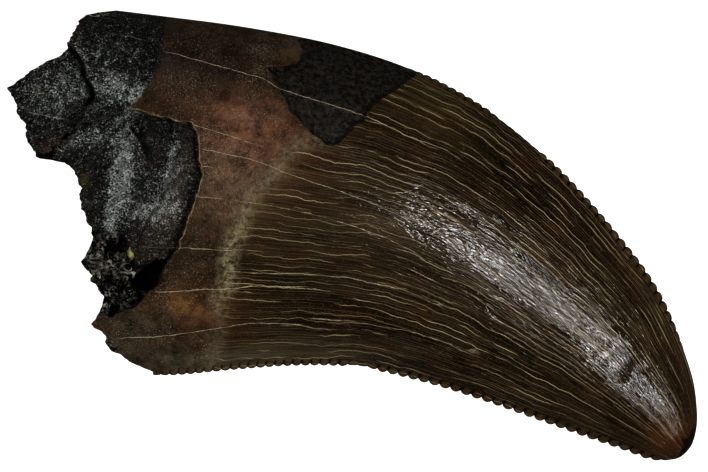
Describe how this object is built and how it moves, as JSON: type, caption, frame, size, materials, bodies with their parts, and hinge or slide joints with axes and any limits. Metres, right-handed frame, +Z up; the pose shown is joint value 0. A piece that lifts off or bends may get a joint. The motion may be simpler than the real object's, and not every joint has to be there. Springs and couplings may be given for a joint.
{
  "type": "fossil nanotyrannus tooth",
  "caption": "Small curved fossil theropod tooth, serrated on both edges, snapped off at the root and lying on its side.",
  "frame": {"origin": "on the table, under the middle of the tooth's bounding box", "axes": "+X from the broken root to the tip along the longest side, +Y towards the front cutting edge, +Z up from the table through the tooth's thickness"},
  "size_m": [0.0274, 0.018, 0.0078],
  "materials": {
    "fossil_enamel": "satin, finely striated and cracked"
  },
  "bodies": {
    "root": {"tooth": "fossil_enamel"}
  },
  "joints": []
}
